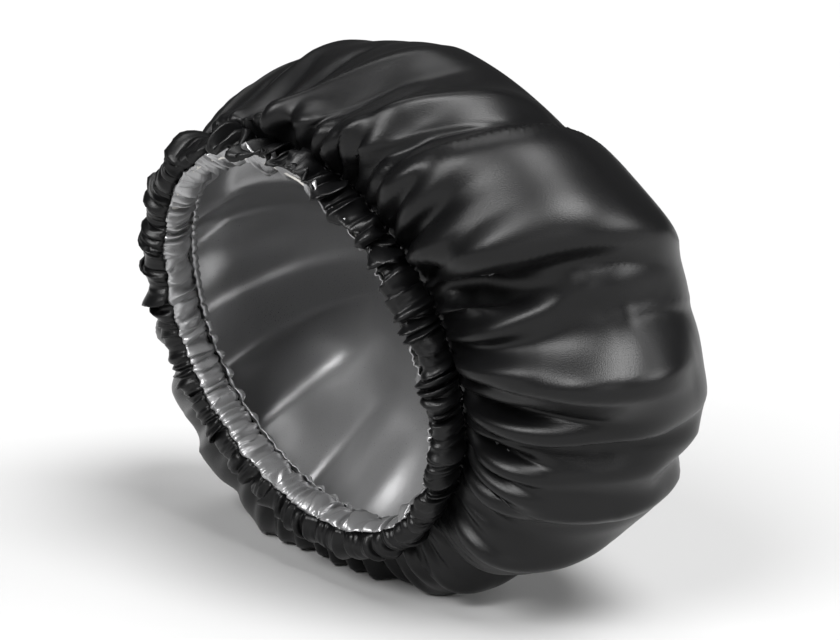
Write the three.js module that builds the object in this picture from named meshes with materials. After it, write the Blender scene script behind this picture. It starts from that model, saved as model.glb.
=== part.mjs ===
// Sleep bonnet: a puffy satin crown with a satin lining, gathered into an elasticated casing.
// Millimetres, +Z up. The bonnet lies on its side with its opening towards -Y, looking slightly
// down, and the underside of the crown is flattened where it rests on the surface.
import * as THREE from 'three';

// Driving dimensions
const OPENING_RADIUS = 92.7;   // edge seam of the casing, with the elastic relaxed
const OPENING_HEIGHT = 122;    // centre of the opening above the surface that the bonnet lies on
const OPENING_TILT = 16;       // degrees that the opening looks down
const CLOTH = 1.2;             // thickness of one satin layer
const LINING_SHARES = { outer: 0.955, inner: 0.943 }; // parts of the way out to the crown's inside
const CROWN_CENTRE_BACK = 60;  // the crown's centre, back from the edge seam
const CROWN_SAG = 24;          // drop of the crown's middle, away from the opening
const GATHERS = 18;            // pleats of the crown as it leaves the casing
const GATHER_HEIGHT = 2.6;
const FOLD_RISE = 0.18;        // part of the meridian over which folds rise from the stitch line
const GATHER_REACH = 0.12;     // part of the meridian over which the pleats fade
const PUCKER_HEIGHT = 0.8;     // puckers of the casing, one to each pleat
const ELASTIC = { radius: 95.4, thickness: 1.2, width: 8, back: 3 };

const SEGMENTS = 72;           // round the bonnet
const CROWN_STATIONS = 12;     // from the stitch line to the middle of the crown
const CASING_STATIONS = 4;     // from the edge seam to the stitch line
const ELASTIC_SEGMENTS = 36;

// The crown's meridian: distance back from the edge seam, and radius.
const CROWN_SECTIONS = [
  { back: 16.5, radius: 99 },
  { back: 15.5, radius: 107 },
  { back: 14, radius: 117 },
  { back: 15.5, radius: 128 },
  { back: 24, radius: 140 },
  { back: 42, radius: 150 },
  { back: 66, radius: 153 },
  { back: 91, radius: 146 },
  { back: 114, radius: 124 },
  { back: 131, radius: 90 },
  { back: 141, radius: 46 },
  { back: 144, radius: 0 },
];

// The two halves of the casing, each from the edge seam to the stitch line.
const CASING_OUTER_SECTIONS = [
  { back: 0.3, radius: OPENING_RADIUS + 0.5 },
  { back: -2, radius: 97 },
  { back: 1, radius: 101.2 },
  { back: 7, radius: 102.6 },
  { back: 12, radius: 101 },
  { back: 14, radius: 98.2 },
];
const CASING_INNER_SECTIONS = [
  { back: 0.3, radius: OPENING_RADIUS - 0.4 },
  { back: 2, radius: 90.4 },
  { back: 7, radius: 89.2 },
  { back: 12, radius: 90.8 },
  { back: 15.4, radius: 94.6 },
];

// How the crown departs from round as it lies. Each row adds waves round the crown, with a crest
// towards one angle, as a part of the radius. Angles run from the top, 0, over +X, 90, to the
// underside, 180. Whole rows grow over the first third of the meridian, collar rows stay there.
const SPREAD = [
  { place: 'whole', waves: 2, towards: 86, amount: 0.127 },
  { place: 'whole', waves: 1, towards: 57, amount: 0.055 },
  { place: 'collar', waves: 2, towards: 50, amount: 0.078 },
  { place: 'collar', waves: 1, towards: 200, amount: 0.147 },
];

// Main folds and dents. Each runs along the meridian between two reaches, from 0 at the stitch line
// to 1 at the middle of the crown, while its angle turns from one value to the other. Half width in
// degrees, height in mm: a dent's is negative.
const FOLDS = [
  { from: 0.08, to: 0.42, angle: 6, endAngle: 22, width: 7, height: 6 },
  { from: 0.05, to: 0.50, angle: 16, endAngle: 34, width: 5, height: -4 },
  { from: 0.02, to: 0.45, angle: 28, endAngle: 46, width: 6, height: 5 },
  { from: 0.02, to: 0.55, angle: 38, endAngle: 59, width: 5, height: -5 },
  { from: 0.02, to: 0.62, angle: 50, endAngle: 67, width: 8, height: 6 },
  { from: 0.04, to: 0.50, angle: 63, endAngle: 76, width: 5, height: -7 },
  { from: 0.03, to: 0.20, angle: 68, endAngle: 71, width: 5, height: -9 },
  { from: 0.12, to: 0.50, angle: 80, endAngle: 84, width: 7, height: 6 },
  { from: 0.02, to: 0.30, angle: 93, endAngle: 95, width: 5, height: -7 },
  { from: 0.20, to: 0.50, angle: 92, endAngle: 92, width: 6, height: 4 },
  { from: 0.02, to: 0.45, angle: 101, endAngle: 99, width: 4, height: -6 },
  { from: 0.02, to: 0.40, angle: 114, endAngle: 112, width: 7, height: 6 },
  { from: 0.02, to: 0.40, angle: 128, endAngle: 124, width: 5, height: -5 },
  { from: 0.02, to: 0.40, angle: 146, endAngle: 142, width: 7, height: 5 },
  { from: 0.04, to: 0.45, angle: 205, endAngle: 212, width: 7, height: 5 },
  { from: 0.04, to: 0.45, angle: 222, endAngle: 230, width: 5, height: -5 },
  { from: 0.04, to: 0.50, angle: 240, endAngle: 249, width: 8, height: 5 },
  { from: 0.04, to: 0.50, angle: 262, endAngle: 270, width: 6, height: -5 },
  { from: 0.04, to: 0.50, angle: 282, endAngle: 288, width: 8, height: 5 },
  { from: 0.04, to: 0.50, angle: 301, endAngle: 305, width: 5, height: -5 },
  { from: 0.12, to: 0.52, angle: 318, endAngle: 322, width: 8, height: 6 },
  { from: 0.12, to: 0.52, angle: 336, endAngle: 342, width: 5, height: -5 },
  { from: 0.10, to: 0.50, angle: 350, endAngle: 358, width: 6, height: 4 },
];

// The bonnet's own axes as it lies: sideways, up across the opening, and back into the crown.
const tilt = THREE.MathUtils.degToRad(OPENING_TILT);
const SIDEWAYS = new THREE.Vector3(1, 0, 0);
const UPWARDS = new THREE.Vector3(0, -Math.sin(tilt), Math.cos(tilt));
const BACKWARDS = new THREE.Vector3(0, Math.cos(tilt), Math.sin(tilt));

// A point on the bonnet from its cylindrical position about the opening's axis.
function place(back, radius, angle) {
  return new THREE.Vector3(0, 0, OPENING_HEIGHT)
    .addScaledVector(BACKWARDS, back)
    .addScaledVector(SIDEWAYS, radius * Math.sin(angle))
    .addScaledVector(UPWARDS, radius * Math.cos(angle));
}

function curveThrough(sections) {
  return new THREE.SplineCurve(sections.map(({ back, radius }) => new THREE.Vector2(radius, back)));
}

const { smoothstep, degToRad } = THREE.MathUtils;
const meridian = curveThrough(CROWN_SECTIONS);

// The crown's radius at a place, as a part of the meridian's.
function roundness(reach, angle) {
  const share = {
    whole: smoothstep(reach, 0, 0.3),
    collar: smoothstep(reach, 0, 0.2) * (1 - smoothstep(reach, 0.2, 0.5)),
  };
  return SPREAD.reduce((total, row) => total
    + share[row.place] * row.amount * Math.cos(row.waves * (angle - degToRad(row.towards))), 1);
}

// The crown without its folds. Its meridians meet in one point at the middle.
function smoothCrown(reach, angle) {
  const section = meridian.getPointAt(reach);
  const radius = reach === 1 ? 0 : section.x * roundness(reach, angle);
  const point = place(section.y, radius, angle);
  point.z -= CROWN_SAG * reach ** 1.5;
  return point;
}

// Outward direction of the smooth crown. At its middle, where the meridians meet, it points back.
function crownNormal(reach, angle) {
  if (reach === 1) return BACKWARDS.clone();
  const step = 0.002;
  const here = smoothCrown(reach, angle);
  const along = smoothCrown(reach + step, angle).sub(here);
  const around = smoothCrown(reach, angle + step).sub(here);
  return around.cross(along).normalize();
}

// Signed turn from one angle to another, in degrees within half a turn.
function turnBetween(degrees, target) {
  return THREE.MathUtils.euclideanModulo(degrees - target + 180, 360) - 180;
}

// Height of the pleats, folds and dents above the smooth crown.
function foldHeight(reach, angle) {
  const degrees = THREE.MathUtils.radToDeg(angle);
  let height = GATHER_HEIGHT * Math.cos(GATHERS * angle) * Math.exp(-reach / GATHER_REACH);
  for (const fold of FOLDS) {
    const along = (reach - fold.from) / (fold.to - fold.from);
    if (along <= 0 || along >= 1) continue;
    const line = THREE.MathUtils.lerp(fold.angle, fold.endAngle, along);
    const across = turnBetween(degrees, line) / fold.width;
    height += fold.height * Math.sin(Math.PI * along ** 0.7) * Math.exp(-across * across);
  }
  return height * smoothstep(reach, 0.02, FOLD_RISE);
}

// A point of the crown at a depth under its outer face. A layer that would sink below the surface
// lies flat on it, each at its own depth.
function crownPoint(reach, angle, depth) {
  const point = smoothCrown(reach, angle);
  const height = reach === 1 ? 0 : foldHeight(reach, angle);
  point.addScaledVector(crownNormal(reach, angle), height - depth);
  point.z = Math.max(point.z, depth);
  return point;
}

// Moves each vertex of a lathe to where the surface function puts it. Lathe vertices come column by
// column, one column to each angle, and the last column lies on the first.
function shapeLathe(profile, segments, surface) {
  const lathe = new THREE.LatheGeometry(profile, segments);
  const position = lathe.attributes.position;
  for (let vertex = 0; vertex < position.count; vertex += 1) {
    const column = Math.floor(vertex / profile.length) % segments;
    const point = surface(vertex % profile.length, (2 * Math.PI * column) / segments);
    position.setXYZ(vertex, point.x, point.y, point.z);
  }
  lathe.computeVertexNormals();
  return lathe;
}

// One layer of the crown: its inner face from the middle to the stitch line, then its outer face
// back to the middle.
function crownLayer(innerFace, outerFace) {
  const reaches = [];
  for (let station = CROWN_STATIONS; station >= 0; station -= 1) {
    reaches.push((station / CROWN_STATIONS) ** 1.5);
  }
  const stops = [
    ...reaches.map((reach) => ({ reach, face: innerFace })),
    ...reaches.toReversed().map((reach) => ({ reach, face: outerFace })),
  ];
  const profile = stops.map(({ reach }) => {
    const section = meridian.getPointAt(reach);
    return new THREE.Vector2(section.x, -section.y);
  });
  return shapeLathe(profile, SEGMENTS, (stop, angle) => stops[stop].face(stops[stop].reach, angle));
}

// One half of the casing: a strip of cloth, puckered across its middle and plain along its two sewn
// edges. Its wall lies inside the outer face where side is 1, and outside the inner face where it
// is -1, so that the profile is followed backwards to keep its faces outwards.
function casingHalf(sections, side) {
  const curve = curveThrough(sections);
  const stops = [];
  for (let station = 0; station <= CASING_STATIONS; station += 1) {
    const across = station / CASING_STATIONS;
    const point = curve.getPointAt(across);
    const tangent = curve.getTangentAt(across);
    const wall = new THREE.Vector2(-tangent.y, tangent.x).multiplyScalar(side * CLOTH);
    const pucker = PUCKER_HEIGHT * Math.sin(Math.PI * across);
    stops[station] = { point, pucker };
    stops[2 * CASING_STATIONS + 1 - station] = { point: point.clone().add(wall), pucker };
  }
  stops.push(stops[0]);
  if (side < 0) stops.reverse();
  const profile = stops.map(({ point }) => point);
  return shapeLathe(profile, SEGMENTS, (stop, angle) => {
    const { point, pucker } = stops[stop];
    return place(point.y, point.x + pucker * Math.cos(GATHERS * angle), angle);
  });
}

// The elastic is a plain flat ring inside the casing.
function elasticRing() {
  const { radius, thickness, width, back } = ELASTIC;
  const profile = [
    new THREE.Vector2(radius, back),
    new THREE.Vector2(radius + thickness, back),
    new THREE.Vector2(radius + thickness, back + width),
    new THREE.Vector2(radius, back + width),
    new THREE.Vector2(radius, back),
  ];
  return shapeLathe(profile, ELASTIC_SEGMENTS, (stop, angle) => (
    place(profile[stop].y, profile[stop].x, angle)));
}

const blackSatin = { color: 0x121113, roughness: 0.38, metalness: 0 };
const greySatin = { color: 0x77767a, roughness: 0.36, metalness: 0 };
const whiteElastic = { color: 0xe4e2dc, roughness: 0.85, metalness: 0 };

function piece(name, geometry, finish) {
  const mesh = new THREE.Mesh(geometry, new THREE.MeshStandardMaterial(finish));
  mesh.name = name;
  return mesh;
}

const shellOuter = (reach, angle) => crownPoint(reach, angle, 0);
const shellInner = (reach, angle) => crownPoint(reach, angle, CLOTH);

// The lining follows the inside of the shell, drawn in towards the crown's centre.
const crownCentre = place(CROWN_CENTRE_BACK, 0, 0);
const drawnIn = (share) => (reach, angle) => (
  shellInner(reach, angle).sub(crownCentre).multiplyScalar(share).add(crownCentre));
const liningOuter = drawnIn(LINING_SHARES.outer);
const liningInner = drawnIn(LINING_SHARES.inner);

const bonnet = new THREE.Group();
bonnet.add(
  piece('crown_shell', crownLayer(shellInner, shellOuter), blackSatin),
  piece('crown_lining', crownLayer(liningInner, liningOuter), greySatin),
  piece('casing_shell', casingHalf(CASING_OUTER_SECTIONS, 1), blackSatin),
  piece('casing_lining', casingHalf(CASING_INNER_SECTIONS, -1), greySatin),
  piece('elastic', elasticRing(), whiteElastic),
);

// The origin is the middle of the bonnet's outline on the surface that it lies on.
const extent = new THREE.Box3().setFromObject(bonnet);
const middle = extent.getCenter(new THREE.Vector3());
bonnet.position.set(-middle.x, -middle.y, -extent.min.z);

export default bonnet;
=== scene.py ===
import math

import bmesh
import bpy
import numpy as np
from mathutils import Matrix, Vector
from mathutils.bvhtree import BVHTree
from mathutils.kdtree import KDTree


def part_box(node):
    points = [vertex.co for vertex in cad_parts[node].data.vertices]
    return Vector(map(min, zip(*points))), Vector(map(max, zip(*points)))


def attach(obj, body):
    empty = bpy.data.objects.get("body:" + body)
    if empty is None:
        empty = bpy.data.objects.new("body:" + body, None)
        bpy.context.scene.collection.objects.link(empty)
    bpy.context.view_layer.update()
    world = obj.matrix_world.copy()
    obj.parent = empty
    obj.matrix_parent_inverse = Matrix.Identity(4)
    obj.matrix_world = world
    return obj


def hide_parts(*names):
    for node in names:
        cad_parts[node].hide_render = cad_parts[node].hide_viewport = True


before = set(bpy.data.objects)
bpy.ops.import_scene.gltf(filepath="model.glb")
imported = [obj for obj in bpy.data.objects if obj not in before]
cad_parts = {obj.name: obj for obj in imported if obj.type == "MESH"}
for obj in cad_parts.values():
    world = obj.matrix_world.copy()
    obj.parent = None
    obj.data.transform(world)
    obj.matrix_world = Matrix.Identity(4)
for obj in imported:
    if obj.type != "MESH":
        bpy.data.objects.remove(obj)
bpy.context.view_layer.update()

# ---------------------------------------------------------------------------------------------
# Crown shell. One round of thin black polyester satin, gathered all round its edge into the
# casing's stitch line, so that the spare cloth stands in pleats there and runs out into long
# soft folds. The tables below lay its folds, and a cloth simulation settles and puffs them.
# ---------------------------------------------------------------------------------------------
MM = 0.001
OPENING_TILT = math.radians(16)
SIDEWAYS = np.array([1.0, 0.0, 0.0])
UPWARDS = np.array([0.0, -math.sin(OPENING_TILT), math.cos(OPENING_TILT)])
BACKWARDS = np.array([0.0, math.cos(OPENING_TILT), math.sin(OPENING_TILT)])
ELASTIC_BACK = 7 * MM            # middle of the elastic, back from the edge seam
elastic_low, elastic_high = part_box("elastic")
OPENING = np.array((elastic_low + elastic_high) / 2) - BACKWARDS * ELASTIC_BACK

# The crown's section: distance back from the edge seam, and radius, in mm.
CROWN_SECTIONS = [(16.5, 99), (15.5, 107), (14, 117), (15.5, 128), (24, 140), (42, 150),
                  (66, 153), (91, 146), (114, 124), (131, 90), (141, 46), (144, 0)]
CROWN_SAG = 24 * MM              # drop of the crown's middle
CROWN_CELLS = 50                 # cells of the cloth from the stitch line to the middle
SATIN = 0.5 * MM                 # thickness of the cloth
FLOOR_GAP = 0.3 * MM
SHELL_EDGE = (17.2, 97.2)        # where the edge is stitched: back from the seam, and radius, in mm
SHELL_FULLNESS = 0.85            # part of the way from the crown's own cone to the flat round
SHELL_FRAMES, SHELL_LIMIT = 18, 6 * MM   # length of the simulation, and how far it may move
BAND_PLEATS, CROWN_PLEATS = 62, 30       # pleats at the stitch line, and further out


def smooth(low, high, value):
    """0 below low, 1 above high, and an even curve between them."""
    part = np.clip((value - low) / (high - low), 0, 1)
    return part * part * (3 - 2 * part)


def spline(points, steps=30):
    """A Catmull-Rom curve through the points."""
    points = np.array(points, float)
    made = []
    for index in range(len(points) - 1):
        before, start = points[max(index - 1, 0)], points[index]
        end, after = points[index + 1], points[min(index + 2, len(points) - 1)]
        slope, next_slope = (end - before) / 2, (after - start) / 2
        for part in np.linspace(0, 1, steps, endpoint=False):
            made.append((2 * start - 2 * end + slope + next_slope) * part ** 3
                        + (3 * end - 3 * start - 2 * slope - next_slope) * part ** 2
                        + slope * part + start)
    return np.array(made + [points[-1]])


def lengths_along(points):
    """How far each point lies along its line."""
    steps = np.linalg.norm(np.diff(points, axis=0), axis=1)
    return np.concatenate([[0], np.cumsum(steps)])


def place(back, radius, angle):
    """Points in the row frame from cylindrical places about the opening's axis."""
    back, radius = back + 0 * angle, radius + 0 * angle
    return (OPENING + np.multiply.outer(back, BACKWARDS)
            + np.multiply.outer(radius * np.sin(angle), SIDEWAYS)
            + np.multiply.outer(radius * np.cos(angle), UPWARDS))


meridian = spline(CROWN_SECTIONS) * MM
meridian_lengths = lengths_along(meridian)
MERIDIAN = meridian_lengths[-1]


def roundness(reach, angle):
    """The crown's radius as a part of the meridian's: it has spread sideways as it lies."""
    whole = smooth(0, 0.3, reach)
    collar = smooth(0, 0.2, reach) * (1 - smooth(0.2, 0.5, reach))
    behind = smooth(0, 0.04, reach) * (1 - smooth(0.08, 0.30, reach))
    turn = np.radians
    dip = 0.08 * behind * (0.5 + 0.5 * np.cos(angle - turn(280))) ** 4
    spread = whole * (0.127 * np.cos(2 * (angle - turn(86)))
                      + 0.055 * np.cos(angle - turn(57)))
    lopsided = collar * (0.078 * np.cos(2 * (angle - turn(50)))
                         + 0.147 * np.cos(angle - turn(200)))
    return 1 - dip + spread + lopsided


def smooth_crown(reach, angle):
    """The crown without its folds. Reach is 0 at the stitch line and 1 at the middle."""
    back = np.interp(reach * MERIDIAN, meridian_lengths, meridian[:, 0])
    radius = np.interp(reach * MERIDIAN, meridian_lengths, meridian[:, 1])
    points = place(back, radius * roundness(reach, angle), angle)
    points[..., 2] -= CROWN_SAG * reach ** 1.5
    return points


def crown_normal(reach, angle):
    """Outward directions of the smooth crown. At its middle, where meridians meet, they are one."""
    step = 0.001
    near = np.minimum(reach, 0.995)
    here = smooth_crown(near, angle)
    along = smooth_crown(near + step, angle) - here
    around = smooth_crown(near, angle + step) - here
    normal = np.cross(around, along)
    normal /= np.linalg.norm(normal, axis=-1, keepdims=True) + 1e-15
    normal[reach > 0.98] = BACKWARDS
    return normal


# Folds: reach from and to, angle from and to, half width before and after the line in degrees,
# height in mm, and how crisp the crest is, from 1 for a creased one to 2 for a round one. A fold
# that is much narrower on one side than on the other lies over on that side.
SHELL_FOLDS = [
    (0.01, 0.46, 1, 22, 3, 5, 6.5, 1.6),
    (0.02, 0.42, 11, 31, 4, 3, -4.5, 1.4),
    (0.01, 0.48, 22, 44, 3, 5, 6.0, 1.5),
    (0.01, 0.50, 33, 52, 5, 2.2, -5.0, 1.2),
    (0.01, 0.62, 40, 61, 2.2, 9, 5.5, 1.4),
    (0.01, 0.22, 54, 66, 3, 3, 3.5, 1.4),
    (0.05, 0.56, 61, 75, 9, 2.4, 6.0, 1.5),
    (0.03, 0.24, 65, 74, 4, 4, -10.0, 1.8),
    (0.10, 0.50, 76, 79, 4, 4, -4.5, 1.6),
    (0.01, 0.36, 82, 91, 4, 4, 6.5, 1.5),
    (0.02, 0.28, 91, 96, 2.5, 2.5, -7.0, 1.2),
    (0.16, 0.40, 88, 90, 5, 4, 4.0, 1.5),
    (0.02, 0.42, 98, 96, 6, 1.8, 3.5, 1.4),
    (0.02, 0.42, 103, 100, 2.5, 2.5, -6.0, 1.2),
    (0.02, 0.42, 108, 104, 1.8, 5, 3.5, 1.4),
    (0.01, 0.42, 116, 113, 4, 4, 4.5, 1.6),
    (0.02, 0.38, 123, 119, 2.5, 3, -5.5, 1.3),
    (0.01, 0.36, 134, 130, 3, 6, 5.0, 1.5),
    (0.02, 0.30, 147, 143, 3, 3, -4.5, 1.4),
    (0.02, 0.28, 160, 154, 3, 4, 4.0, 1.5),
    (0.02, 0.24, 176, 170, 3, 4, -3.5, 1.5),
    (0.03, 0.40, 205, 212, 4, 5, 4.0, 1.6),
    (0.03, 0.40, 222, 230, 3, 3, -4.0, 1.3),
    (0.03, 0.46, 240, 249, 5, 6, 4.5, 1.7),
    (0.03, 0.46, 262, 270, 3, 4, -4.5, 1.3),
    (0.03, 0.46, 282, 288, 5, 6, 4.5, 1.6),
    (0.03, 0.46, 301, 305, 3, 3, -4.5, 1.3),
    (0.05, 0.75, 158, 158, 16, 16, -2.5, 2.0),
    (0.34, 0.72, 54, 54, 13, 13, -4.5, 2.0),
    (0.12, 0.56, 312, 312, 15, 15, -4.5, 2.0),
    (0.20, 0.78, 38, 46, 15, 15, -5.0, 2.0),
    (0.28, 0.56, 80, 85, 2.5, 4, -5.0, 1.5),
    (0.24, 0.54, 92, 99, 3, 5, 2.2, 1.6),
    (0.30, 0.56, 108, 112, 3, 3, -4.5, 1.5),
    (0.01, 0.40, 222, 226, 18, 18, 6.0, 2.0),
    (0.45, 0.82, 20, 44, 9, 14, -3.0, 1.8),
    (0.40, 0.90, 118, 90, 12, 9, -3.5, 1.8),
    (0.36, 0.80, 160, 196, 9, 14, -3.5, 1.7),
    (0.34, 0.72, 208, 230, 10, 8, -3.0, 1.7),
    (0.42, 0.88, 246, 272, 8, 14, -3.5, 1.7),
    (0.36, 0.76, 300, 282, 11, 8, -3.0, 1.7),
    (0.44, 0.84, 342, 320, 9, 12, -3.0, 1.7),
    (0.08, 0.50, 318, 324, 7, 7, 3.5, 1.8),
    (0.06, 0.46, 331, 338, 2, 2, -3.5, 1.3),
    (0.08, 0.50, 341, 349, 6, 5, 5.0, 1.6),
    (0.04, 0.46, 352, 366, 3, 3, -3.5, 1.4),
]
# Creases that the cloth keeps after it has puffed, in the same form.
SHELL_CREASES = [
    (0.02, 0.40, 2, 22, 1.5, 5, 3.5, 1.1),
    (0.03, 0.44, 23, 44, 1.5, 5, 3.2, 1.1),
    (0.01, 0.60, 38, 60, 2.2, 7, 4.6, 1.1),
    (0.02, 0.50, 38, 59, 2.2, 2.2, -2.4, 1),
    (0.02, 0.22, 55, 67, 1.5, 2.4, 2.7, 1.2),
    (0.06, 0.54, 62, 75.5, 7, 2.2, 4.6, 1.1),
    (0.08, 0.46, 65, 77, 1.5, 2, -3.2, 1),
    (0.03, 0.36, 84, 92, 1.6, 4, 3.8, 1.2),
    (0.02, 0.26, 92.5, 96, 1.5, 1.5, -3.5, 1),
    (0.14, 0.40, 86, 90, 4, 1.5, 2.7, 1.1),
    (0.02, 0.46, 99, 97, 5, 1.5, 4.1, 1.1),
    (0.02, 0.40, 102, 99, 1.5, 1.5, -3.5, 1),
    (0.01, 0.34, 115, 112, 1.5, 4, 3.5, 1.1),
    (0.02, 0.34, 122, 118, 1.5, 1.5, -3.2, 1),
    (0.01, 0.32, 133, 129, 1.5, 4, 3.2, 1.2),
    (0.01, 0.22, 146, 141, 1.5, 1.5, -2.7, 1),
    (0.01, 0.20, 160, 150, 1.5, 4, 2.7, 1.2),
    (0.03, 0.40, 212, 219, 1.5, 5, 3.2, 1.2),
    (0.03, 0.40, 232, 240, 5, 1.5, 3.2, 1.2),
    (0.03, 0.44, 257, 264, 1.5, 5, 3.2, 1.2),
    (0.03, 0.44, 276, 284, 5, 1.5, 3.2, 1.2),
    (0.03, 0.44, 294, 300, 1.5, 5, 3.2, 1.2),
    (0.05, 0.46, 312, 320, 5, 1.5, 3.2, 1.2),
    (0.05, 0.46, 340, 352, 1.5, 5, 3.5, 1.2),
    (0.40, 0.80, 166, 202, 3, 8, 1.8, 1.3),
    (0.44, 0.82, 258, 278, 3, 8, 2, 1.3),
    (0.40, 0.70, 308, 290, 8, 3, 1.6, 1.3),
    (0.03, 0.22, 67, 74, 3, 3, -5.5, 1.8),
    (0.03, 0.25, 63, 70, 2.5, 1.5, 2.6, 1.2),
    (0.26, 0.56, 79, 84, 2.2, 3.5, 2.6, 1.1),
    (0.22, 0.50, 101, 105, 3.5, 2.2, 2.6, 1.1),
    (0.24, 0.52, 112, 115, 2.2, 3, 2.4, 1.1),
    (0.04, 0.30, 106, 104, 1.5, 2.5, 2.6, 1.1),
    (0.06, 0.34, 30, 46, 2.5, 1.5, 2.2, 1.1),
    (0.06, 0.30, 12, 26, 3, 1.5, 2.4, 1.1),
]


def fold_height(rows, reach, angle):
    """Height of a table of folds at each place, in metres."""
    height = np.zeros_like(reach)
    degrees = np.degrees(angle)
    for start, end, first, last, before, after, rise, crisp in rows:
        along = np.clip((reach - start) / (end - start), 0, 1)
        line = first + (last - first) * along
        off = (degrees - line + 180) % 360 - 180
        across = np.abs(off) / np.where(off < 0, before, after)
        height += rise * np.sin(np.pi * along ** 0.7) * np.exp(-across ** crisp)
    return height * MM


def ring_noise(draw, first, last, fall=0.5):
    """A random wavy function of the angle, with waves of those counts and about unit height."""
    counts = np.arange(first, last + 1)
    sizes = counts ** -fall
    sizes = sizes / np.sqrt((sizes ** 2).sum() / 2)
    phases = draw.uniform(0, 2 * np.pi, len(counts))
    return lambda angle: sum(size * np.cos(count * angle + phase)
                             for count, size, phase in zip(counts, sizes, phases))


def new_piece(name, mesh):
    """An object for the mesh, at the origin."""
    piece = bpy.data.objects.new(name, mesh)
    bpy.context.scene.collection.objects.link(piece)
    return piece


def coordinates(mesh):
    """The mesh's vertices as an array."""
    flat = np.empty(len(mesh.vertices) * 3, np.float32)
    mesh.vertices.foreach_get("co", flat)
    return flat.reshape(-1, 3).astype(float)


def move_to(mesh, points):
    """Puts the mesh's vertices at the points."""
    mesh.vertices.foreach_set("co", np.asarray(points, np.float32).ravel())
    mesh.update()


def apply_modifiers(piece):
    """Makes the piece's mesh what its modifiers show."""
    graph = bpy.context.evaluated_depsgraph_get()
    made = bpy.data.meshes.new_from_object(piece.evaluated_get(graph))
    piece.modifiers.clear()
    piece.data = made
    return made


def round_of_cloth(name, cells):
    """A round of cloth as a grid drawn out to a circle, with each vertex's reach and angle."""
    cloth = bmesh.new()
    bmesh.ops.create_grid(cloth, x_segments=2 * cells, y_segments=2 * cells, size=1)
    bmesh.ops.reverse_faces(cloth, faces=cloth.faces)
    mesh = bpy.data.meshes.new(name)
    cloth.to_mesh(mesh)
    cloth.free()
    x, y, _ = coordinates(mesh).T
    wide = np.abs(x) >= np.abs(y)
    safe_x, safe_y = np.where(x == 0, 1, x), np.where(y == 0, 1, y)
    angle = np.where(wide, math.pi / 4 * y / safe_x + np.where(x < 0, math.pi, 0),
                     math.pi / 2 - math.pi / 4 * x / safe_y + np.where(y < 0, math.pi, 0))
    edge = np.maximum(np.abs(x), np.abs(y))
    return mesh, 1 - edge, np.where(edge < 1e-9, 0, -angle)


def lay_out(mesh, across, along):
    """Keeps each vertex's place on the flat cloth, in metres, as the mesh's UV map."""
    layer = mesh.uv_layers.new(name="cloth")
    corners = np.empty(len(mesh.loops), np.int32)
    mesh.loops.foreach_get("vertex_index", corners)
    layer.data.foreach_set("uv", np.stack([across, along], -1)[corners].astype(np.float32).ravel())


def flat_round(reach, angle, fullness):
    """Where each vertex lies on the cloth as cut: fullness 0 is a cone, 1 the full flat round."""
    cells_down, cells_round = 120, 180
    reaches = np.linspace(0, 1, cells_down + 1)
    angles = np.linspace(0, 2 * np.pi, cells_round + 1)
    grid = smooth_crown(reaches[:, None] + 0 * angles, angles + 0 * reaches[:, None])
    steps = np.linalg.norm(np.diff(grid, axis=0), axis=2)
    to_middle = np.concatenate([np.cumsum(steps[::-1], axis=0)[::-1],
                                np.zeros((1, cells_round + 1))])
    around = np.mod(angle, 2 * np.pi) / (2 * np.pi) * cells_round
    column = np.minimum(np.floor(around).astype(int), cells_round - 1)
    down = reach * cells_down
    row = np.minimum(np.floor(down).astype(int), cells_down - 1)
    side, fall = around - column, down - row
    here = to_middle[row, column] * (1 - fall) + to_middle[row + 1, column] * fall
    beside = to_middle[row, column + 1] * (1 - fall) + to_middle[row + 1, column + 1] * fall
    flat = here * (1 - side) + beside * side
    mean = to_middle.mean(1)
    hoops = np.linalg.norm((grid - OPENING) @ np.stack([SIDEWAYS, UPWARDS], 1), axis=2).mean(1)
    rings = hoops + (mean - hoops) * fullness
    rises = np.sqrt(np.maximum(np.diff(mean) ** 2 - np.diff(rings) ** 2, 0))
    height = np.interp(reach, reaches, np.concatenate([[0], np.cumsum(rises)]))
    radius = flat * np.interp(reach, reaches, rings / np.maximum(mean, 1e-6))
    return np.stack([radius * np.cos(angle), radius * np.sin(angle), height], -1), flat


def puff(piece, cut, held, frames, **how):
    """Runs Blender's cloth on the piece from its cut shape, with its held vertices pinned."""
    piece.shape_key_add(name="Basis")
    key = piece.shape_key_add(name="cut")
    key.data.foreach_set("co", cut.astype(np.float32).ravel())
    key.value = 0
    piece.vertex_groups.new(name="held").add(held, 1, "REPLACE")
    cloth = piece.modifiers.new("Cloth", "CLOTH")
    settings = cloth.settings
    settings.quality, settings.mass, settings.air_damping = 6, 0.15, 2
    settings.tension_stiffness = settings.compression_stiffness = 40
    settings.shear_stiffness = 5
    settings.tension_damping = settings.compression_damping = settings.shear_damping = 5
    settings.use_pressure = True
    settings.vertex_group_mass = "held"
    settings.pin_stiffness = 1
    settings.rest_shape_key = piece.data.shape_keys.key_blocks["cut"]
    settings.effector_weights.gravity = 0
    for name, value in how.items():
        setattr(settings, name, value)
    cloth.collision_settings.use_collision = False
    cloth.collision_settings.use_self_collision = False
    cloth.point_cache.frame_start, cloth.point_cache.frame_end = 1, frames
    for step in range(1, frames + 1):
        bpy.context.scene.frame_set(step)
    graph = bpy.context.evaluated_depsgraph_get()
    points = coordinates(piece.evaluated_get(graph).data)
    piece.modifiers.clear()
    piece.shape_key_clear()
    bpy.context.scene.frame_set(1)
    return points


def keep_near(points, start, limit):
    """Draws the points back to within the limit of where they started, more gently the nearer."""
    step = points - start
    far = np.linalg.norm(step, axis=1, keepdims=True)
    return start + step * (limit * np.tanh(far / limit) / np.maximum(far, 1e-9))


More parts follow.
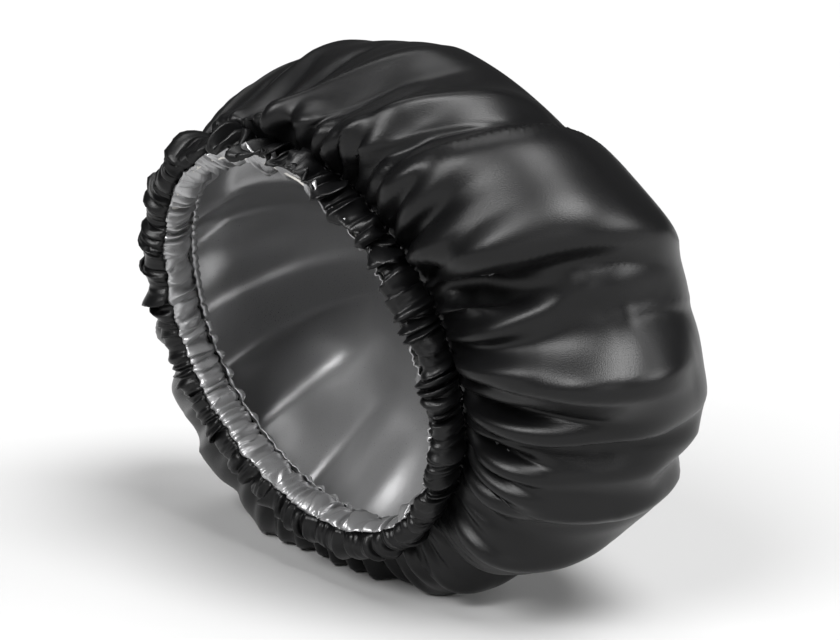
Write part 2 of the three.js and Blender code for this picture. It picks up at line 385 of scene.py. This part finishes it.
draw = np.random.default_rng(11)
shell_mesh, shell_reach, shell_angle = round_of_cloth("crown_shell_cloth", CROWN_CELLS)
wander = [ring_noise(draw, 2, 9) for _ in range(6)]


def pleats(reach, angle, count, drift):
    """Irregular pleats round the crown, from -1 to 1."""
    return np.cos(count * angle + drift * wander[0](angle) + drift * reach * 3 * wander[1](angle))


# The nearer the stitch line, the more cloth there is to spare, and the higher its pleats stand.
spare = np.maximum(MERIDIAN * (1 - shell_reach)
                   / np.interp(shell_reach * MERIDIAN, meridian_lengths, meridian[:, 1] + 1e-6), 1)
slack = 2.6 * np.sqrt(np.clip(spare - 1, 0, 1.4))
hoop = np.interp(shell_reach * MERIDIAN, meridian_lengths, meridian[:, 1])
at_band = smooth(0, 0.03, shell_reach) * (1 - smooth(0.06, 0.18, shell_reach))
past_band = smooth(0.04, 0.14, shell_reach) * (1 - smooth(0.20, 0.46, shell_reach))
start_height = (
    fold_height(SHELL_FOLDS, shell_reach, shell_angle)
    + 0.62 * slack * hoop / BAND_PLEATS * at_band * (1 + 0.4 * wander[2](shell_angle))
    * pleats(shell_reach, shell_angle, BAND_PLEATS, 2.2)
    + 0.16 * slack * hoop / CROWN_PLEATS * past_band * (1 + 0.5 * wander[3](shell_angle))
    * pleats(shell_reach, shell_angle, CROWN_PLEATS, 1.6))
shell_start = (smooth_crown(shell_reach, shell_angle)
               + crown_normal(shell_reach, shell_angle) * start_height[:, None])
shell_edge = shell_reach < 1e-6
shell_start[shell_edge] = place(SHELL_EDGE[0] * MM, SHELL_EDGE[1] * MM, shell_angle[shell_edge])
shell_cut, shell_flat = flat_round(shell_reach, shell_angle, SHELL_FULLNESS)
lay_out(shell_mesh, shell_flat * np.cos(shell_angle), shell_flat * np.sin(shell_angle))
move_to(shell_mesh, shell_start)
crown_shell = new_piece("crown_shell_cloth", shell_mesh)
shell_points = shell_start
held = np.nonzero(shell_edge)[0].tolist()
shell_points = puff(crown_shell, shell_cut, held, SHELL_FRAMES,
                    bending_stiffness=0.4, uniform_pressure_force=1.6)
shell_points = keep_near(shell_points, shell_start, SHELL_LIMIT)
shell_points[:, 2] = np.maximum(shell_points[:, 2], FLOOR_GAP + SATIN)
move_to(crown_shell.data, shell_points)


def crease(phase, sharpness):
    """A pleat from -1 to 1: a crisp crest where sharpness is 1, a crisp valley where it is 0."""
    crest = 1 - 2 * np.abs(np.sin(phase / 2)) ** 0.65
    valley = 2 * np.abs(np.cos(phase / 2)) ** 0.65 - 1
    return sharpness * crest + (1 - sharpness) * valley


def refine(piece, reach, angle, relief):
    """Subdivides the cloth, moves it by the relief, and gives it its wall.

    It returns the outer face as a tree that rays can be cast at.
    """
    mesh = piece.data
    for name, values in (("reach", reach), ("cosine", np.cos(angle)), ("sine", np.sin(angle))):
        mesh.attributes.new(name, "FLOAT", "POINT").data.foreach_set(
            "value", np.asarray(values, np.float32))
    finer = piece.modifiers.new("finer", "SUBSURF")
    finer.levels = finer.render_levels = 1
    mesh.shade_smooth()
    mesh = apply_modifiers(piece)
    values = {}
    for name in ("reach", "cosine", "sine"):
        values[name] = np.empty(len(mesh.vertices), np.float32)
        mesh.attributes[name].data.foreach_get("value", values[name])
        mesh.attributes.remove(mesh.attributes[name])
    normals = np.empty(len(mesh.vertices) * 3, np.float32)
    mesh.vertex_normals.foreach_get("vector", normals)
    points, normals = coordinates(mesh), normals.reshape(-1, 3).astype(float)
    points += relief(values["reach"].astype(float),
                     np.arctan2(values["sine"], values["cosine"]).astype(float),
                     points, normals)
    points[:, 2] = np.maximum(points[:, 2], FLOOR_GAP + SATIN)
    move_to(mesh, points)
    outer_face = BVHTree.FromPolygons([Vector(point) for point in points],
                                      [list(face.vertices) for face in mesh.polygons])
    wall = piece.modifiers.new("wall", "SOLIDIFY")
    wall.thickness, wall.offset = SATIN, -1
    apply_modifiers(piece)
    return outer_face


def shell_relief(reach, angle, points, normals):
    """Crisp creases, and small pleats beside the stitch line."""
    by_band = smooth(0.0, 0.012, reach) * (1 - smooth(0.02, 0.10, reach))
    near_band = smooth(0.01, 0.04, reach) * (1 - smooth(0.06, 0.24, reach))
    fine = crease(118 * angle + 2.5 * wander[0](angle) + 14 * reach * wander[4](angle), 0.3)
    middle = crease(58 * angle + 2.2 * wander[0](angle) + 10 * reach * wander[5](angle), 0.35)
    height = (fold_height(SHELL_CREASES, reach, angle)
              + 0.75 * MM * by_band * fine * (1 + 0.4 * wander[3](angle))
              + 0.9 * MM * near_band * middle * (1 + 0.5 * wander[2](angle)))
    return normals * height[:, None]


shell_surface = refine(crown_shell, shell_reach, shell_angle, shell_relief)


class Shade:
    """One value in a material's nodes, so that shader maths is written as Python."""

    def __init__(self, finish, socket):
        self.finish, self.socket = finish, socket

    def maths(self, operation, *values):
        return self.finish.node("ShaderNodeMath", {"operation": operation},
                                dict(enumerate(values)))

    def __add__(self, other): return self.maths("ADD", self, other)
    def __radd__(self, other): return self.maths("ADD", other, self)
    def __sub__(self, other): return self.maths("SUBTRACT", self, other)
    def __rsub__(self, other): return self.maths("SUBTRACT", other, self)
    def __mul__(self, other): return self.maths("MULTIPLY", self, other)
    def __rmul__(self, other): return self.maths("MULTIPLY", other, self)


class Finish:
    """A material, and one way to add any node to it."""

    def __init__(self, name, **constants):
        self.material = bpy.data.materials.new(name)
        self.material.use_nodes = True
        self.tree = self.material.node_tree
        self.surface = self.tree.nodes["Principled BSDF"]
        for socket, value in constants.items():
            self.surface.inputs[socket.replace("_", " ")].default_value = value

    def node(self, kind, settings, values, out=0):
        """A node of that type, with its settings, and the values or links of its sockets."""
        made = self.tree.nodes.new(kind)
        for name, value in settings.items():
            setattr(made, name, value)
        for name, value in values.items():
            self.join(made.inputs[name], value)
        return Shade(self, made.outputs[out])

    def join(self, socket, value):
        """Links a shade to the socket, or sets a plain value on it."""
        if isinstance(value, Shade):
            self.tree.links.new(value.socket, socket)
        else:
            socket.default_value = value

    def noise(self, scale, detail=2, stretch=(1, 1, 1), place=None):
        """Noise with so many waves to the metre, on the flat cloth unless a place is given."""
        where = place or self.node("ShaderNodeUVMap", {"uv_map": "cloth"}, {})
        spread = self.node("ShaderNodeMapping", {}, {"Vector": where, "Scale": stretch})
        return self.node("ShaderNodeTexNoise", {}, {"Vector": spread, "Scale": scale,
                                                    "Detail": detail})

    def blend(self, first, second, part):
        """A colour between two others."""
        return self.node("ShaderNodeMix", {"data_type": "RGBA"},
                         {"Factor": part, 6: first, 7: second}, out=2)

    def bump(self, height, distance, strength=1):
        """Relief of that depth in metres, on the surface's Normal."""
        self.join(self.surface.inputs["Normal"], self.node(
            "ShaderNodeBump", {}, {"Height": height, "Distance": distance,
                                   "Strength": strength}))


def satin(name, dark, light, rough, **constants):
    """Woven satin: long floats of filament yarn that give a soft, grainy gloss."""
    finish = Finish(name, **constants)
    floats = finish.noise(1900, 2, (0.6, 1, 1))
    slubs = finish.noise(160, 3, (0.15, 1, 1))
    clouds = finish.noise(14, 2)
    finish.join(finish.surface.inputs["Base Color"],
                finish.blend(dark, light, 0.55 * floats + 0.25 * slubs + 0.2 * clouds))
    finish.join(finish.surface.inputs["Roughness"],
                rough + 0.16 * (floats - 0.5) + 0.06 * (clouds - 0.5))
    finish.bump(0.85 * floats + 0.15 * slubs, 0.1 * MM, 0.8)
    return finish.material


black_satin = satin("black_satin", (0.0012, 0.0012, 0.0014, 1), (0.0045, 0.0045, 0.0048, 1), 0.35,
                    Specular_IOR_Level=0.28)
crown_shell.data.materials.append(black_satin)
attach(crown_shell, "root")
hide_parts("crown_shell")

# ---------------------------------------------------------------------------------------------
# Crown lining. A second round of satin, silver grey with its bright face inwards, gathered into
# the same stitch line. It hangs loose inside the shell in broad folds that sweep round from the
# opening.
# ---------------------------------------------------------------------------------------------
LINING_CELLS = 48
LINING_GAP = 4.5 * MM            # least distance from the shell
LINING_EDGE = (17.4, 95.6)       # where the edge is stitched, as for the shell
LINING_FULLNESS = 0.6
LINING_FRAMES, LINING_LIMIT = 10, 3 * MM
TUBE_MIDDLE = (45, 75)           # middle of the crown's puffed tube: back, and radius, in mm
INSIDE = 30 * MM                 # how far inside the lining the rays start
LINING_FOLDS = [
    (0.01, 0.80, 352, 378, 5, 8, -9.0, 1.6),
    (0.01, 0.75, 338, 362, 4, 4, 10.0, 1.5),
    (0.01, 0.85, 326, 352, 5, 5, -10.0, 1.7),
    (0.01, 0.80, 313, 340, 3, 5, 12.0, 1.4),
    (0.01, 0.85, 300, 328, 5, 6, -11.0, 1.7),
    (0.01, 0.85, 288, 314, 3, 5, 12.0, 1.4),
    (0.01, 0.85, 275, 300, 5, 5, -11.0, 1.7),
    (0.01, 0.80, 264, 286, 3, 5, 12.0, 1.4),
    (0.01, 0.75, 251, 270, 5, 5, -10.0, 1.7),
    (0.01, 0.70, 240, 255, 3, 5, 10.0, 1.4),
    (0.01, 0.65, 227, 240, 5, 5, -9.0, 1.7),
    (0.01, 0.60, 213, 224, 3, 5, 9.0, 1.5),
    (0.01, 0.50, 198, 206, 5, 5, -7.0, 1.7),
    (0.02, 0.50, 182, 186, 4, 5, 6.0, 1.6),
    (0.02, 0.50, 166, 168, 5, 5, -5.0, 1.7),
    (0.02, 0.50, 148, 146, 6, 6, 4.5, 1.7),
    (0.02, 0.50, 128, 122, 6, 6, -4.5, 1.7),
    (0.02, 0.50, 106, 100, 6, 6, 4.5, 1.7),
    (0.02, 0.50, 84, 80, 6, 6, -4.5, 1.7),
    (0.02, 0.50, 60, 58, 6, 6, 4.5, 1.7),
    (0.02, 0.50, 36, 38, 6, 6, -4.5, 1.7),
    (0.02, 0.50, 14, 22, 6, 6, 4.5, 1.7),
]

lining_mesh, lining_reach, lining_angle = round_of_cloth("crown_lining_cloth", LINING_CELLS)
lining_base = smooth_crown(lining_reach, lining_angle)


def away_from_tube(reach, angle, points):
    """Outward directions that stay true where the crown turns under beside the stitch line."""
    away = points - place(TUBE_MIDDLE[0] * MM, TUBE_MIDDLE[1] * MM, angle)
    away /= np.linalg.norm(away, axis=1, keepdims=True)
    share = smooth(0.15, 0.4, reach)[:, None]
    mixed = away * (1 - share) + crown_normal(reach, angle) * share
    return mixed / np.linalg.norm(mixed, axis=1, keepdims=True)


lining_normal = away_from_tube(lining_reach, lining_angle, lining_base)
drawn_in = 1.5 + 12 * smooth(0.02, 0.25, lining_reach)
lining_height = (
    fold_height(LINING_FOLDS, lining_reach, lining_angle) - drawn_in * MM
    + 0.8 * MM * (1 - smooth(0.05, 0.2, lining_reach)) * smooth(0, 0.03, lining_reach)
    * pleats(lining_reach, lining_angle, 54, 2.5))
lining_start = lining_base + lining_normal * lining_height[:, None]
lining_edge = lining_reach < 1e-6
lining_start[lining_edge] = place(LINING_EDGE[0] * MM, LINING_EDGE[1] * MM,
                                  lining_angle[lining_edge])
lining_cut, lining_flat = flat_round(lining_reach, lining_angle, LINING_FULLNESS)
lay_out(lining_mesh, lining_flat * np.cos(lining_angle), lining_flat * np.sin(lining_angle))
move_to(lining_mesh, lining_start)
crown_lining = new_piece("crown_lining_cloth", lining_mesh)
lining_points = lining_start
held = np.nonzero(lining_edge)[0].tolist()
lining_points = puff(crown_lining, lining_cut, held, LINING_FRAMES,
                     bending_stiffness=1, uniform_pressure_force=0.2)
lining_points = keep_near(lining_points, lining_start, LINING_LIMIT)
lining_points[:, 2] = np.maximum(lining_points[:, 2], FLOOR_GAP + SATIN + LINING_GAP)
move_to(crown_lining.data, lining_points)


def lining_relief(reach, angle, points, normals):
    """Small puckers at the stitch line, and no place nearer to the shell than the gap."""
    outwards = away_from_tube(reach, angle, smooth_crown(reach, angle))
    height = (-0.5 * MM * (1 - smooth(0.02, 0.10, reach))
              * (1 + crease(96 * angle + 2.5 * wander[0](angle), 0.4)))
    for index in np.nonzero(reach > 0.01)[0]:
        start = Vector(points[index] - outwards[index] * INSIDE)
        shell = shell_surface.ray_cast(start, Vector(outwards[index]))
        if shell[0] is not None:
            height[index] = min(height[index], shell[3] - INSIDE - LINING_GAP)
    return outwards * height[:, None]


refine(crown_lining, lining_reach, lining_angle, lining_relief)

grey_satin = satin("grey_satin", (0.32, 0.32, 0.325, 1), (0.46, 0.46, 0.465, 1), 0.31,
                   Metallic=0.6, Specular_IOR_Level=0.6)
crown_lining.data.materials.append(grey_satin)
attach(crown_lining, "root")
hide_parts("crown_lining")

# ---------------------------------------------------------------------------------------------
# Casing. A tube of satin that the elastic runs through, black outside and silver grey inside,
# seamed along the edge of the opening and stitched down to the crown. The elastic draws it up
# to a fraction of its length, so that it stands in crowded, creased puckers.
# ---------------------------------------------------------------------------------------------
# Places in the casing's sections: distance back from the edge seam, and radius, in mm.
STITCH_OUTER, STITCH_INNER = (16.9, 98.4), (16.5, 95.5)
EDGE_SEAM = (0, 93.2)
NEAR_SECTIONS = [EDGE_SEAM, (-2, 96), (-0.8, 99.4), (4, 101.4), (11, 100.8), STITCH_OUTER]
FAR_SECTIONS = [EDGE_SEAM, (-3.6, 98.5), (-3.6, 105), (2.5, 110.5), (11, 107), STITCH_OUTER]
INNER_SECTIONS = [EDGE_SEAM, (2, 92), (6, 91.5), (11, 92), (14, 93.4), STITCH_INNER]
CASING_COLUMNS, CASING_ROWS = 1100, 15
BAND_RADIUS = 96 * MM
CASING_FULLNESS = 2.185          # flat length of the strip for each length of the band
CASING_FRAMES, CASING_LIMIT = 14, 4 * MM
PLEATS, BROAD_PLEATS, FINE_PLEATS = 70, 37, 170
SHELL_PLEAT, LINING_PLEAT = 3.1, 3.0     # heights of the pleats, in mm
NEAR_SIDE = math.radians(66)     # where the band is narrow. It is widest opposite
TOP, TOP_WIDTH = 8, 48           # where the edge flares, and over how much, in degrees
FLARE = 9 * MM


def casing_half(name, sections, far_sections, out, height, seed):
    """One strip of the casing. out is 1 where it puckers away from the axis, -1 towards it.

    It returns the piece, the strip's width, and the line of points beside its stitching.
    """
    shared, draw = np.random.default_rng(3), np.random.default_rng(seed)
    curve, far_curve = spline(sections) * MM, spline(far_sections) * MM
    along_curve, along_far = lengths_along(curve), lengths_along(far_curve)
    width = (along_curve[-1] + along_far[-1]) / 2
    cloth = bmesh.new()
    bmesh.ops.create_grid(cloth, x_segments=CASING_COLUMNS, y_segments=CASING_ROWS, size=1)
    mesh = bpy.data.meshes.new(name)
    cloth.to_mesh(mesh)
    cloth.free()
    x, y, _ = coordinates(mesh).T
    angle, across = (x + 1) * math.pi, (y + 1) / 2
    lay_out(mesh, angle * BAND_RADIUS * CASING_FULLNESS, across * width)
    drift, ruffle, surge = (ring_noise(shared, *span) for span in ((3, 26), (12, 34), (16, 44)))
    slant, bend, size, lean, crisp, fine_size = (ring_noise(draw, *span) for span in (
        (10, 70), (10, 60), (12, 80), (8, 40), (6, 40), (10, 50)))
    far_side = smooth(0.25, 0.75, 0.5 - 0.5 * np.cos(angle - NEAR_SIDE))
    top = np.exp(-(((np.degrees(angle) + 180) % 360 - 180 - TOP) / TOP_WIDTH) ** 2)
    seam = 1 - smooth(0, 0.45, across)
    body = np.sin(math.pi * across) ** 0.7
    tilt = (across - 0.1) * 1.5 * slant(angle) + 0.9 * np.sin(math.pi * across) * bend(angle)
    phase = PLEATS * angle + 4.2 * drift(angle) + tilt
    second = BROAD_PLEATS * angle - 4.6 * drift(angle) - 1.2 * tilt
    third = FINE_PLEATS * angle + 2.5 * slant(angle) + 2 * across
    strength = np.clip((1 + 0.5 * size(angle) + 0.5 * surge(angle)) * (1 + 0.9 * top), 0.3, 3.4)
    sharp = np.clip(0.5 + 0.5 * crisp(angle), 0, 1)
    pleat = (0.62 * crease(phase, sharp) + 0.5 * crease(second, 1 - sharp)) * strength
    small = 0.16 * crease(third, 0.5) * (1 + 0.5 * fine_size(angle))
    lift = height * MM * (0.85 * body * pleat + small * (1 - 0.7 * body)
                          + 0.25 * (1 - body) * crease(phase, sharp))
    lift += out * MM * seam * (0.4 + 1.9 * top) * (1.1 * ruffle(angle) + 0.5 * surge(angle))
    slide = lift * np.clip(0.9 * lean(angle), -1.3, 1.3) / BAND_RADIUS * body

    def along_profile(line, lengths, weight):
        """Weighted back, radius and outward direction at each vertex, from one section."""
        tangent = np.gradient(line, axis=0)
        tangent /= np.linalg.norm(tangent, axis=1, keepdims=True)
        here = across * lengths[-1]
        return [np.interp(here, lengths, column) * weight for column in (
            line[:, 0], line[:, 1], out * tangent[:, 0], -out * tangent[:, 1])]

    back, radius, out_radius, out_back = (near + far for near, far in zip(
        along_profile(curve, along_curve, 1 - far_side),
        along_profile(far_curve, along_far, far_side)))
    radius = radius + FLARE * top * seam
    wave = MM * seam * (0.45 * np.cos(second) + 0.35 * np.cos(phase)
                        + (0.5 + 2.4 * top) * ruffle(angle))
    points = place(back + lift * out_back - wave, radius + lift * out_radius, angle + slide)
    cut_radius = BAND_RADIUS * CASING_FULLNESS
    cut = np.stack([cut_radius * np.cos(angle), cut_radius * np.sin(angle), across * width], -1)
    move_to(mesh, points)
    cloth = bmesh.new()
    cloth.from_mesh(mesh)
    bmesh.ops.remove_doubles(cloth, verts=cloth.verts, dist=1e-6)
    if out < 0:
        bmesh.ops.reverse_faces(cloth, faces=cloth.faces)
    # Merging the ends renumbers the vertices, so each is found again by its place.
    places = KDTree(len(points))
    for index, point in enumerate(points):
        places.insert(point, index)
    places.balance()
    order = np.array([places.find(vertex.co)[1] for vertex in cloth.verts])
    cloth.to_mesh(mesh)
    cloth.free()
    piece = new_piece(name, mesh)
    start, across, cut = points[order], across[order], cut[order]
    sewn = np.nonzero((across < 1e-4) | (across > 1 - 1e-4))[0].tolist()
    puckered = puff(piece, cut, sewn, CASING_FRAMES,
                    bending_stiffness=0.05, uniform_pressure_force=0)
    move_to(piece.data, keep_near(puckered, start, CASING_LIMIT))
    last_row = np.nonzero(np.abs(across - (CASING_ROWS - 1) / CASING_ROWS) < 1e-4)[0]
    turn = order[last_row]
    stitched = coordinates(piece.data)[last_row[np.argsort(turn)]]
    wall = piece.modifiers.new("wall", "SOLIDIFY")
    wall.thickness, wall.offset = SATIN, -1
    mesh.shade_smooth()
    apply_modifiers(piece)
    return piece, width, stitched


casing_shell, shell_width, shell_line = casing_half(
    "casing_shell_cloth", NEAR_SECTIONS, FAR_SECTIONS, 1, SHELL_PLEAT, 5)
casing_lining, lining_width, lining_line = casing_half(
    "casing_lining_cloth", INNER_SECTIONS, INNER_SECTIONS, -1, LINING_PLEAT, 8)
for piece, width, finish, node, slot in (
        (casing_shell, shell_width, black_satin, "casing_shell", "shell_satin"),
        (casing_lining, lining_width, grey_satin, "casing_lining", "lining_satin")):
    piece.data.materials.append(finish)
    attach(piece, "root")
    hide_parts(node)

# ---------------------------------------------------------------------------------------------
# Stitches. Lockstitching in matching thread that joins the casing to the crown, one row that
# shows in the groove outside and one inside. Each stitch lies along the face of the cloth.
# ---------------------------------------------------------------------------------------------
THREAD = 0.45 * MM
STITCH_COLUMNS, STITCH_GAP = 4, 2    # columns of the casing's cloth under a stitch and between two


def stitch_row(name, line, out, finish):
    """Stitches along a line of points, outside it where out is 1 and inside it where out is -1."""
    axis_foot = OPENING + np.outer((line - OPENING) @ BACKWARDS, BACKWARDS)
    outwards = (line - axis_foot) / np.linalg.norm(line - axis_foot, axis=1, keepdims=True)
    line = line + outwards * out * THREAD * 0.6
    thread = bmesh.new()
    for start in range(0, len(line) - STITCH_COLUMNS, STITCH_COLUMNS + STITCH_GAP):
        ends = Vector(line[start]), Vector(line[start + STITCH_COLUMNS])
        along = ends[1] - ends[0]
        turned = along.to_track_quat("X", "Z").to_matrix().to_4x4()
        size = Matrix.Diagonal((along.length, THREAD, THREAD, 1))
        bmesh.ops.create_uvsphere(
            thread, u_segments=6, v_segments=5, radius=0.5,
            matrix=Matrix.Translation((ends[0] + ends[1]) / 2) @ turned @ size)
    mesh = bpy.data.meshes.new(name)
    thread.to_mesh(mesh)
    thread.free()
    mesh.shade_smooth()
    mesh.materials.append(finish)
    piece = new_piece(name, mesh)
    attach(piece, "root")


def thread_finish(name, dark, light):
    """Twisted sewing thread, dull and a little rough."""
    finish = Finish(name, Roughness=0.55, Specular_IOR_Level=0.4)
    twist = finish.noise(2500, 1, (1, 1, 1), finish.node("ShaderNodeTexCoord", {}, {}, out=3))
    finish.join(finish.surface.inputs["Base Color"], finish.blend(dark, light, twist))
    finish.bump(twist, 0.05 * MM)
    return finish.material


stitch_row("outer_stitches", shell_line, 1, thread_finish(
    "black_thread", (0.002, 0.002, 0.002, 1), (0.006, 0.006, 0.006, 1)))
stitch_row("inner_stitches", lining_line, -1, thread_finish(
    "grey_thread", (0.16, 0.16, 0.16, 1), (0.34, 0.34, 0.34, 1)))

# ---------------------------------------------------------------------------------------------
# Elastic. A flat knitted band inside the casing, white, with fine ribs along its length.
# ---------------------------------------------------------------------------------------------
knit = Finish("white_elastic", Roughness=0.85, Specular_IOR_Level=0.3)
solid_place = knit.node("ShaderNodeTexCoord", {}, {}, out=3)
yarn = knit.noise(900, 2, (1, 1, 1), solid_place)
ribs = knit.noise(220, 1, (1, 6, 1), solid_place)
knit.join(knit.surface.inputs["Base Color"],
          knit.blend((0.62, 0.60, 0.56, 1), (0.82, 0.80, 0.76, 1), 0.6 * yarn + 0.4 * ribs))
knit.bump(0.5 * yarn + 0.5 * ribs, 0.2 * MM)
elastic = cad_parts["elastic"]
elastic.data.materials.clear()
elastic.data.materials.append(knit.material)

# ---------------------------------------------------------------------------------------------
# Floor, light and camera. A pale studio floor, soft lights high and low on the right, a fill
# from the left, a weak one from behind, and a long lens.
# ---------------------------------------------------------------------------------------------
ground = bmesh.new()
bmesh.ops.create_circle(ground, cap_ends=True, segments=96, radius=14)
ground_mesh = bpy.data.meshes.new("studio_floor")
ground.to_mesh(ground_mesh)
ground.free()
studio_floor = new_piece("studio_floor", ground_mesh)
paper = Finish("pale_floor", Roughness=0.9, Specular_IOR_Level=0.1)
fine = paper.noise(3, 2, (1, 1, 1), paper.node("ShaderNodeTexCoord", {}, {}, out=3))
paper.join(paper.surface.inputs["Base Color"],
           paper.blend((0.50, 0.50, 0.50, 1), (0.52, 0.52, 0.52, 1), fine))
ground_mesh.materials.append(paper.material)


def sun(name, azimuth, elevation, strength, spread):
    """A soft distant light from that bearing, spread over so many degrees of sky."""
    light = bpy.data.lights.new(name, "SUN")
    light.energy, light.angle = strength, math.radians(spread)
    lamp = bpy.data.objects.new(name, light)
    bpy.context.scene.collection.objects.link(lamp)
    turn, rise = math.radians(azimuth), math.radians(elevation)
    towards = Vector((math.sin(turn) * math.cos(rise), -math.cos(turn) * math.cos(rise),
                      math.sin(rise)))
    lamp.rotation_euler = towards.to_track_quat("Z", "Y").to_euler()


# Bearing and height in degrees, strength, and spread in degrees.
sun("key_light", 80, 58, 3.7, 28)
sun("top_light", 250, 70, 0.6, 26)
sun("fill_light", 15, 40, 2.7, 26)
sun("low_light", 62, 10, 0.3, 24)
sun("side_light", 118, 26, 1.7, 30)
sky = bpy.data.worlds.new("studio")
sky.use_nodes = True
sky.node_tree.nodes["Background"].inputs["Color"].default_value = (1, 1, 1, 1)
sky.node_tree.nodes["Background"].inputs["Strength"].default_value = 0.08
bpy.context.scene.world = sky
bpy.context.scene.view_settings.view_transform = "Standard"

VIEW_AZIMUTH, VIEW_ELEVATION, VIEW_DISTANCE = math.radians(52), math.radians(14), 1.08
towards_camera = Vector((math.sin(VIEW_AZIMUTH) * math.cos(VIEW_ELEVATION),
                         -math.cos(VIEW_AZIMUTH) * math.cos(VIEW_ELEVATION),
                         math.sin(VIEW_ELEVATION)))
lens = bpy.data.cameras.new("camera")
lens.lens = 100
lens.shift_x, lens.shift_y = 0.154, 0.0385
camera = bpy.data.objects.new("camera", lens)
bpy.context.scene.collection.objects.link(camera)
camera.location = Vector(OPENING) + towards_camera * VIEW_DISTANCE
camera.rotation_euler = towards_camera.to_track_quat("Z", "Y").to_euler()
bpy.context.scene.camera = camera
